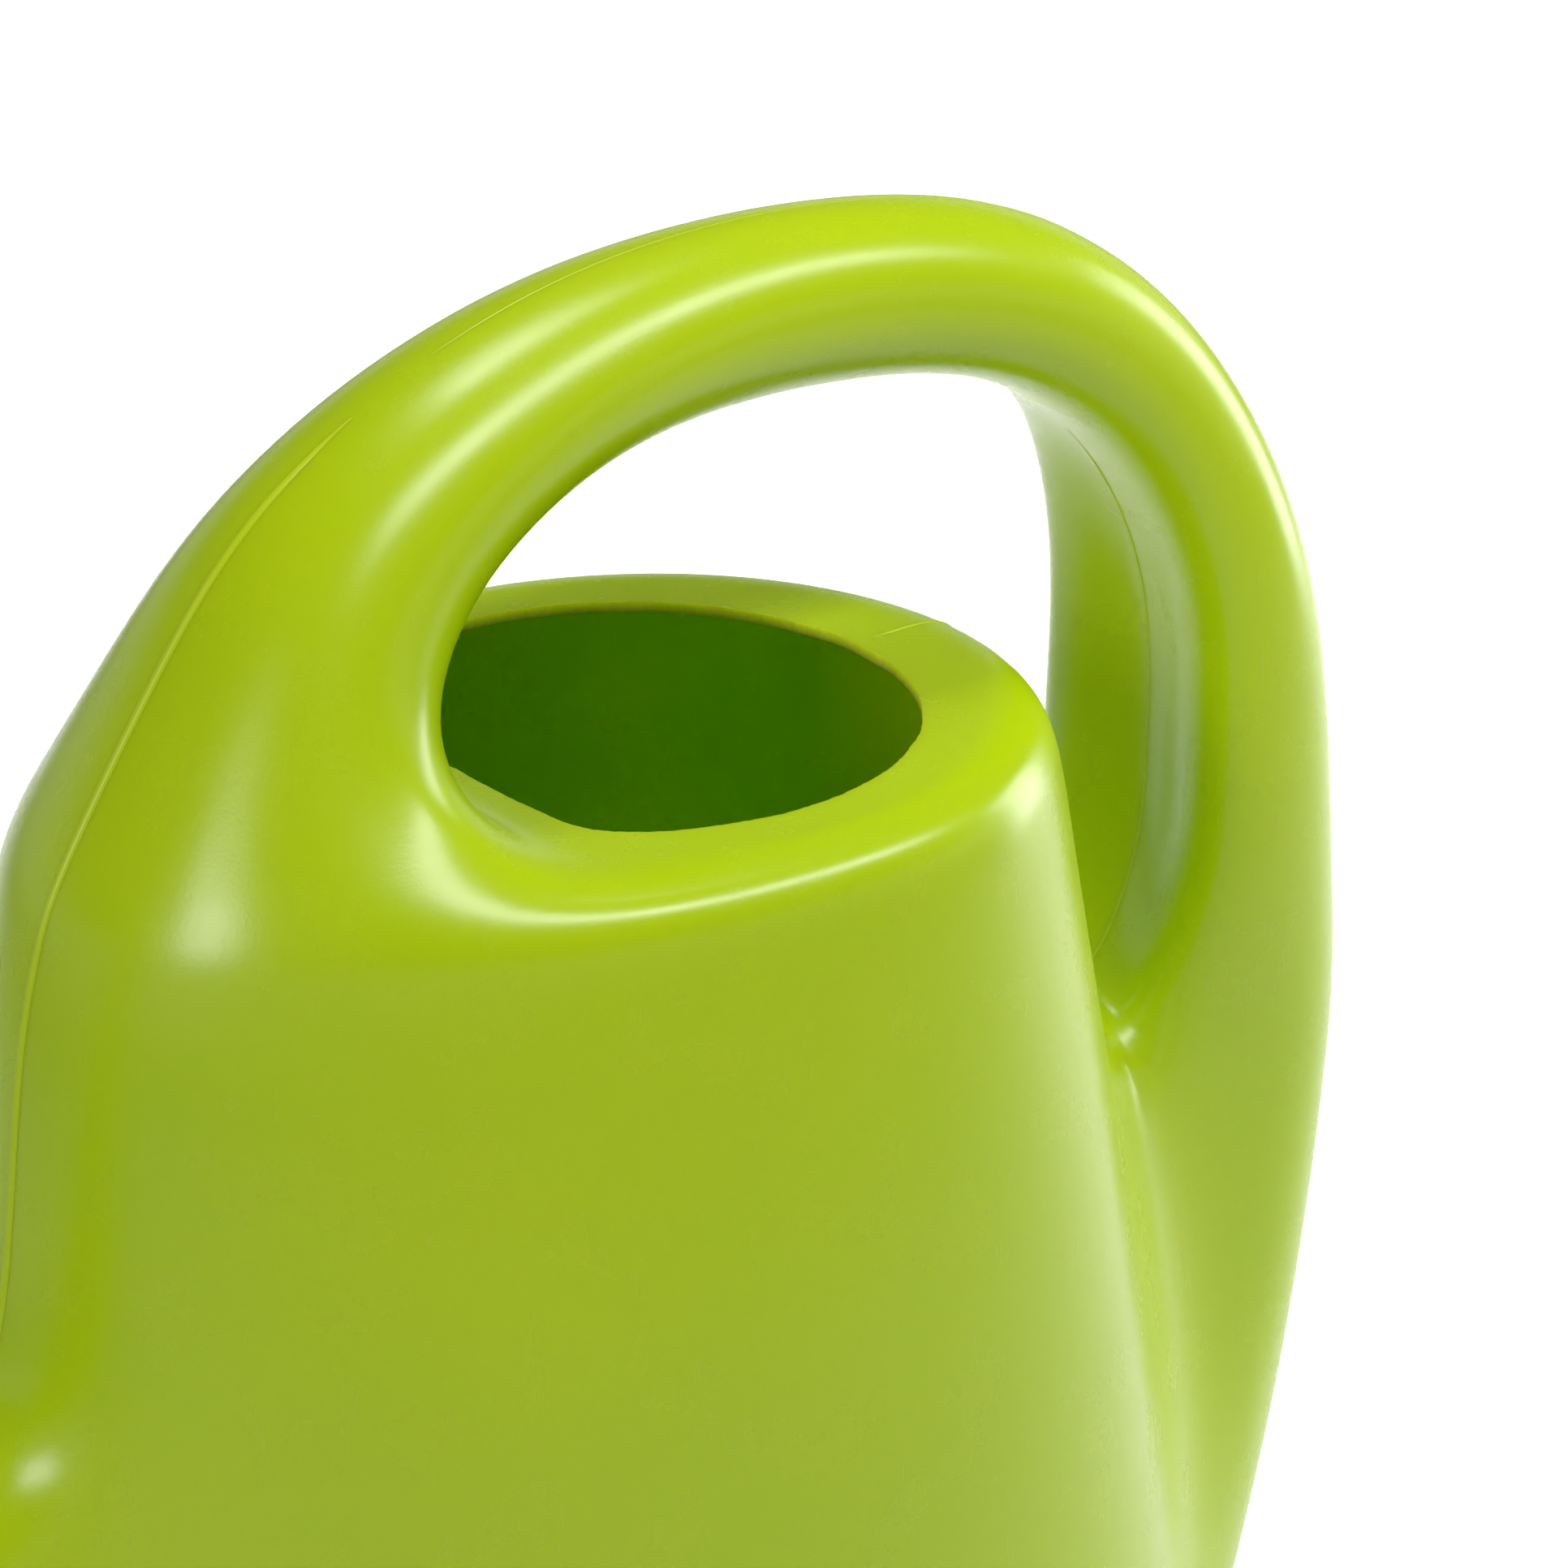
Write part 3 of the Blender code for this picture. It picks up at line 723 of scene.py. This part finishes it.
FIT_GAP = 0.3             # between pieces that touch, in millimetres
SEAL_THICKNESS = 1.6
SEAL_LENGTH = 14.0
SEAL_TOP = -4.0           # from the spout's open end, along its axis
SEAL_FLANGE = 2.0
SEAL_ROUND = 0.45         # soft corners of the seal
ROSE_WALL = 2.0
ROSE_SOCKET_LENGTH = 26.0
ROSE_CONE_LENGTH = 34.0
ROSE_RADIUS = 38.0
ROSE_LIP = 7.0
FACE_THICKNESS = 1.8
FACE_CROWN = 6.0
FACE_DROP = 1.2           # face's edge below the rim
FACE_LEDGE = 1.0          # ledge that the face rests on
FACE_RINGS = 12           # steps of the face's dome, and its flats around
FACE_SIDES = 72
HOLE_RADIUS = 0.9
HOLE_PITCH = 5.2          # between rings of holes
HOLE_RINGS = 6
HOLE_MERGE = 0.1          # joins the points of the middle ring into one
DRILL_SIDES = 14
DRILL_LENGTH = 26
DRILL_LIFT = 0.6          # drills' middle, as a share of the dome's rise
CONE_ROUND = 3.0          # soft corners of the cone
CONE_RISE = 4.0           # height of those corners
CONE_STEP = 1.0           # between a corner and the straight part beside it
CONE_INNER_ROUND = 1.5
ROSE_ROUND = 3.0          # soft corners of the turned funnel
CORNER_LIMIT = 0.45       # a corner takes up to this share of a side
TURNED_CREASE = 40        # degrees; steeper edges are shaded sharp
PLATE_CREASE = 35

SEAL_INNER = SPOUT_TIP_RADIUS + FIT_GAP
SEAL_OUTER = SEAL_INNER + SEAL_THICKNESS
SOCKET_INNER = SEAL_OUTER + FIT_GAP
SOCKET_OUTER = SOCKET_INNER + ROSE_WALL
ROSE_BOTTOM = SEAL_TOP - SEAL_LENGTH + SEAL_FLANGE + FIT_GAP
ROSE_NECK = ROSE_BOTTOM + ROSE_SOCKET_LENGTH
ROSE_BRIM = ROSE_NECK + ROSE_CONE_LENGTH
ROSE_TOP = ROSE_BRIM + ROSE_LIP
FACE_SEAT = ROSE_TOP - FACE_THICKNESS - FACE_DROP
ON_SPOUT = (Matrix.Translation(spout_tip() * MM)
            @ spout_axis().to_track_quat("Z", "X").to_matrix().to_4x4())


def rounded(profile, reach, steps=3):
    """Closed profile with its corners rounded off by up to a reach."""
    smooth = []
    count = len(profile)
    for index, corner in enumerate(profile):
        corner = Vector(corner)
        before = Vector(profile[index - 1])
        after = Vector(profile[(index + 1) % count])
        size = min(reach, (before - corner).length * CORNER_LIMIT,
                   (after - corner).length * CORNER_LIMIT)
        start = corner + (before - corner).normalized() * size
        end = corner + (after - corner).normalized() * size
        for step in range(steps + 1):
            share = step / steps
            first, second = start.lerp(corner, share), corner.lerp(end, share)
            smooth.append(first.lerp(second, share))
    return smooth


def turned(name, profile, material, steps=96):
    """Closed ring turned from a profile about the spout's axis."""
    shape = bmesh.new()
    rings = []
    for index in range(steps):
        angle = 2 * math.pi * index / steps
        turn_x, turn_y = math.cos(angle), math.sin(angle)
        rings.append([shape.verts.new((reach * MM * turn_x, reach * MM * turn_y, height * MM))
                      for reach, height in profile])
    for here, there in zip(rings, rings[1:] + rings[:1]):
        for index in range(len(profile)):
            after = (index + 1) % len(profile)
            shape.faces.new((here[index], there[index], there[after], here[after]))
    shape.transform(ON_SPOUT)
    bmesh.ops.recalc_face_normals(shape, faces=shape.faces)
    obj = place(name, shape)
    obj.data.materials.append(material)
    obj.data.shade_smooth()
    obj.data.set_sharp_from_angle(angle=math.radians(TURNED_CREASE))
    return obj


def make_seal(rubber):
    """Rubber sleeve on the tip, with a flange under the socket."""
    bottom = SEAL_TOP - SEAL_LENGTH
    profile = [(SEAL_OUTER, SEAL_TOP), (SEAL_OUTER, bottom + SEAL_FLANGE),
               (SOCKET_OUTER, bottom + SEAL_FLANGE), (SOCKET_OUTER, bottom),
               (SEAL_INNER, bottom), (SEAL_INNER, SEAL_TOP)]
    seal = turned("spout_seal", rounded(profile, SEAL_ROUND), rubber)
    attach(seal, "seal")
    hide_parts("rose_seal")


def make_rose_funnel(lime):
    """Socket, bell and rim of the rose."""
    profile = [
        (ROSE_RADIUS, ROSE_TOP),
        (ROSE_RADIUS, ROSE_BRIM),
        (ROSE_RADIUS - CONE_ROUND, ROSE_BRIM - CONE_RISE - CONE_STEP),
        (SOCKET_OUTER + CONE_ROUND, ROSE_NECK + CONE_RISE),
        (SOCKET_OUTER, ROSE_NECK - CONE_STEP),
        (SOCKET_OUTER, ROSE_BOTTOM),
        (SOCKET_INNER, ROSE_BOTTOM),
        (SOCKET_INNER, ROSE_NECK),
        (SOCKET_INNER + CONE_INNER_ROUND, ROSE_NECK + CONE_RISE + CONE_STEP),
        (ROSE_RADIUS - CONE_ROUND - ROSE_WALL, ROSE_BRIM - CONE_RISE),
        (ROSE_RADIUS - ROSE_WALL - FACE_LEDGE, ROSE_BRIM),
        (ROSE_RADIUS - ROSE_WALL - FACE_LEDGE, FACE_SEAT),
        (ROSE_RADIUS - ROSE_WALL, FACE_SEAT),
        (ROSE_RADIUS - ROSE_WALL, ROSE_TOP),
    ]
    funnel = turned("rose_bell", rounded(profile, ROSE_ROUND, 4), lime)
    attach(funnel, "rose")
    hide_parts("rose_funnel")


def perforation_tree(material):
    """Geometry nodes that drill a plate with rings of holes."""
    tree = bpy.data.node_groups.new("rose_perforation", "GeometryNodeTree")
    face = tree.interface
    face.new_socket("Geometry", in_out="INPUT", socket_type="NodeSocketGeometry")
    face.new_socket("Hole radius", in_out="INPUT", socket_type="NodeSocketFloat")
    face.new_socket("Hole pitch", in_out="INPUT", socket_type="NodeSocketFloat")
    face.new_socket("Plate height", in_out="INPUT", socket_type="NodeSocketFloat")
    face.new_socket("Geometry", in_out="OUTPUT", socket_type="NodeSocketGeometry")
    nodes, links = tree.nodes, tree.links
    entry, leave = nodes.new("NodeGroupInput"), nodes.new("NodeGroupOutput")
    drill = nodes.new("GeometryNodeMeshCylinder")
    drill.inputs["Vertices"].default_value = DRILL_SIDES
    drill.inputs["Depth"].default_value = DRILL_LENGTH * MM
    links.new(entry.outputs["Hole radius"], drill.inputs["Radius"])
    join = nodes.new("GeometryNodeJoinGeometry")
    for ring in range(HOLE_RINGS):
        radius = nodes.new("ShaderNodeMath")
        radius.operation = "MULTIPLY"
        radius.inputs[1].default_value = ring
        links.new(entry.outputs["Hole pitch"], radius.inputs[0])
        circle = nodes.new("GeometryNodeMeshCircle")
        circle.inputs["Vertices"].default_value = max(3, 6 * ring)
        links.new(radius.outputs["Value"], circle.inputs["Radius"])
        merge = nodes.new("GeometryNodeMergeByDistance")
        merge.inputs["Distance"].default_value = HOLE_MERGE * MM
        links.new(circle.outputs["Mesh"], merge.inputs["Geometry"])
        spots = nodes.new("GeometryNodeInstanceOnPoints")
        links.new(merge.outputs["Geometry"], spots.inputs["Points"])
        links.new(drill.outputs["Mesh"], spots.inputs["Instance"])
        links.new(spots.outputs["Instances"], join.inputs["Geometry"])
    lift = nodes.new("GeometryNodeTransform")
    height = nodes.new("ShaderNodeCombineXYZ")
    links.new(entry.outputs["Plate height"], height.inputs["Z"])
    links.new(join.outputs["Geometry"], lift.inputs["Geometry"])
    links.new(height.outputs["Vector"], lift.inputs["Translation"])
    real_drills = nodes.new("GeometryNodeRealizeInstances")
    links.new(lift.outputs["Geometry"], real_drills.inputs["Geometry"])
    cut = nodes.new("GeometryNodeMeshBoolean")
    cut.operation = "DIFFERENCE"
    cut.solver = "EXACT"
    links.new(entry.outputs["Geometry"], cut.inputs["Mesh 1"])
    links.new(real_drills.outputs["Geometry"], cut.inputs["Mesh 2"])
    real = nodes.new("GeometryNodeRealizeInstances")
    paint = nodes.new("GeometryNodeSetMaterial")
    paint.inputs["Material"].default_value = material
    links.new(cut.outputs["Mesh"], real.inputs["Geometry"])
    links.new(real.outputs["Geometry"], paint.inputs["Geometry"])
    links.new(paint.outputs["Geometry"], leave.inputs["Geometry"])
    return tree


def make_rose_face(lime):
    """Domed plate of the rose, drilled with rings of fine holes."""
    radius = ROSE_RADIUS - ROSE_WALL - FIT_GAP
    low = FACE_SEAT + FIT_GAP
    shape = bmesh.new()

    def dome(distance):
        return FACE_CROWN * (1 - (distance / radius) ** 2)

    def layer(lift):
        centre = shape.verts.new((0.0, 0.0, (low + lift + dome(0.0)) * MM))
        loops = []
        for ring in range(1, FACE_RINGS + 1):
            reach = radius * ring / FACE_RINGS
            height = (low + lift + dome(reach)) * MM
            loops.append([shape.verts.new((reach * MM * math.cos(2 * math.pi * k / FACE_SIDES),
                                           reach * MM * math.sin(2 * math.pi * k / FACE_SIDES),
                                           height)) for k in range(FACE_SIDES)])
        for k in range(FACE_SIDES):
            after = (k + 1) % FACE_SIDES
            shape.faces.new((centre, loops[0][k], loops[0][after]))
            for inner, outer in zip(loops, loops[1:]):
                shape.faces.new((inner[k], outer[k], outer[after], inner[after]))
        return loops[-1]

    bottom, top = layer(0.0), layer(FACE_THICKNESS)
    for k in range(FACE_SIDES):
        after = (k + 1) % FACE_SIDES
        shape.faces.new((bottom[k], bottom[after], top[after], top[k]))
    bmesh.ops.recalc_face_normals(shape, faces=shape.faces)
    plate = place("rose_plate", shape)
    drill = plate.modifiers.new("Perforation", "NODES")
    drill.node_group = perforation_tree(lime)
    set_inputs(drill, Hole_radius=HOLE_RADIUS * MM, Hole_pitch=HOLE_PITCH * MM,
               Plate_height=(low + FACE_CROWN * DRILL_LIFT) * MM)
    applied(plate)
    plate.data.transform(ON_SPOUT)
    plate.data.shade_smooth()
    plate.data.set_sharp_from_angle(angle=math.radians(PLATE_CREASE))
    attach(plate, "rose")
    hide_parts("rose_face")


# --- Studio, in metres ---------------------------------------------------------------

CENTRE = (0.0, 0.0, 0.28)
# Name, place, aim, width, height, power and spread in degrees of each light.
LIGHTS = (
    ("overhead_bank", (0.40, -0.50, 1.14), (0.40, 0.0, 0.28), 1.25, 0.22, 8.4, 180.0),
    ("left_bank", (-1.30, -0.42, 0.85), CENTRE, 0.4, 0.5, 5.0, 180.0),
    ("right_bank", (1.45, -0.05, 0.40), CENTRE, 0.5, 0.8, 6.5, 180.0),
    ("floor_bank", (0.62, 0.78, 1.5), (0.62, 0.78, 0.0), 1.3, 1.3, 9.0, 60.0),
)
AMBIENT = 0.07
MATT = 0.9
FLOOR_SIZE = 6.0
FLOOR_DROP = 0.0005       # floor below the foot
STUDIO_WALL_RADIUS = 5.0
STUDIO_WALL_HEIGHT = 1.3
STUDIO_WALL_Z = 0.64      # height of its middle
STUDIO_WALL_GLOW = 0.36
FLOOR_TONES = ((0.9, 0.9, 0.9), (0.93, 0.93, 0.93))
STUDIO_WALL_TONES = ((0.86, 0.86, 0.86), (0.9, 0.9, 0.9))

CAMERA_AZIMUTH = -38.55   # degrees
CAMERA_ELEVATION = 23.2
CAMERA_DISTANCE = 1.25
CAMERA_TARGET = (0.0379, 0.0, 0.2506)
CAMERA_SENSOR = 36.0      # millimetres
CAMERA_LENS = 152.93


def glow(name, place_at, aim, width, height, power, spread):
    """A soft rectangular studio light."""
    lamp = bpy.data.lights.new(name, "AREA")
    lamp.shape = "RECTANGLE"
    lamp.size, lamp.size_y = width, height
    lamp.energy = power
    lamp.spread = math.radians(spread)
    obj = bpy.data.objects.new(name, lamp)
    bpy.context.scene.collection.objects.link(obj)
    obj.location = place_at
    obj.rotation_euler = (Vector(aim) - Vector(place_at)).to_track_quat("-Z", "Y").to_euler()


def make_floor():
    """A pale sweep under and behind the can."""
    shape = bmesh.new()
    bmesh.ops.create_grid(shape, x_segments=1, y_segments=1, size=FLOOR_SIZE)
    floor = place("studio_floor", shape)
    floor.location.z = -FLOOR_DROP
    finish = Finish("pale_floor")
    cloud = finish.noise(3.0, 2.0)
    colour = finish.mix(cloud, *FLOOR_TONES)
    finish.link(colour, finish.shader.inputs["Base Color"])
    finish.shader.inputs["Roughness"].default_value = MATT
    floor.data.materials.append(finish.material)


def make_wall():
    """A low pale wall far round the can, to close the horizon."""
    shape = bmesh.new()
    bmesh.ops.create_cone(shape, segments=64, radius1=STUDIO_WALL_RADIUS,
                          radius2=STUDIO_WALL_RADIUS, depth=STUDIO_WALL_HEIGHT)
    bmesh.ops.reverse_faces(shape, faces=shape.faces)
    wall = place("studio_wall", shape)
    wall.location.z = STUDIO_WALL_Z
    finish = Finish("pale_wall")
    cloud = finish.noise(0.8, 2.0)
    colour = finish.mix(cloud, *STUDIO_WALL_TONES)
    finish.link(colour, finish.shader.inputs["Base Color"])
    finish.link(colour, finish.shader.inputs["Emission Color"])
    finish.shader.inputs["Emission Strength"].default_value = STUDIO_WALL_GLOW
    finish.shader.inputs["Roughness"].default_value = MATT
    wall.data.materials.append(finish.material)


def make_studio():
    """World, lights, floor and wall."""
    world = bpy.data.worlds.new("studio")
    bpy.context.scene.world = world
    world.use_nodes = True
    back = world.node_tree.nodes["Background"]
    back.inputs["Color"].default_value = (1.0, 1.0, 1.0, 1.0)
    back.inputs["Strength"].default_value = AMBIENT
    for light in LIGHTS:
        glow(*light)
    make_floor()
    make_wall()


def make_camera():
    """Camera in front of the can's left side, looking down at its mouth."""
    azimuth, elevation = math.radians(CAMERA_AZIMUTH), math.radians(CAMERA_ELEVATION)
    back = Vector((math.sin(azimuth) * math.cos(elevation),
                   -math.cos(azimuth) * math.cos(elevation), math.sin(elevation)))
    right = Vector((math.cos(azimuth), math.sin(azimuth), 0.0))
    up = back.cross(right)
    lens = bpy.data.cameras.new("camera")
    lens.sensor_width = CAMERA_SENSOR
    lens.lens = CAMERA_LENS
    camera = bpy.data.objects.new("camera", lens)
    bpy.context.scene.collection.objects.link(camera)
    turn = Matrix((right, up, back)).transposed().to_4x4()
    place_at = Vector(CAMERA_TARGET) + back * CAMERA_DISTANCE
    camera.matrix_world = Matrix.Translation(place_at) @ turn
    bpy.context.scene.camera = camera


def main():
    """Build the visible can, its rose, and the studio."""
    lime = lime_plastic("lime_polyethylene", LIME, LIME_ROUGHNESS)
    lime_rose = lime_plastic("lime_rose_plastic", LIME_ROSE, LIME_ROSE_ROUGHNESS)
    chains = make_can(lime, cut_plastic())
    lime_line = lime_plastic("lime_parting_line", LIME_LINE, LIME_LINE_ROUGHNESS, 0.0)
    make_parting_lines(chains, lime_line)
    make_seal(seal_rubber())
    make_rose_funnel(lime_rose)
    make_rose_face(lime_rose)
    make_studio()
    make_camera()
    bpy.context.scene.view_settings.view_transform = "Standard"


main()
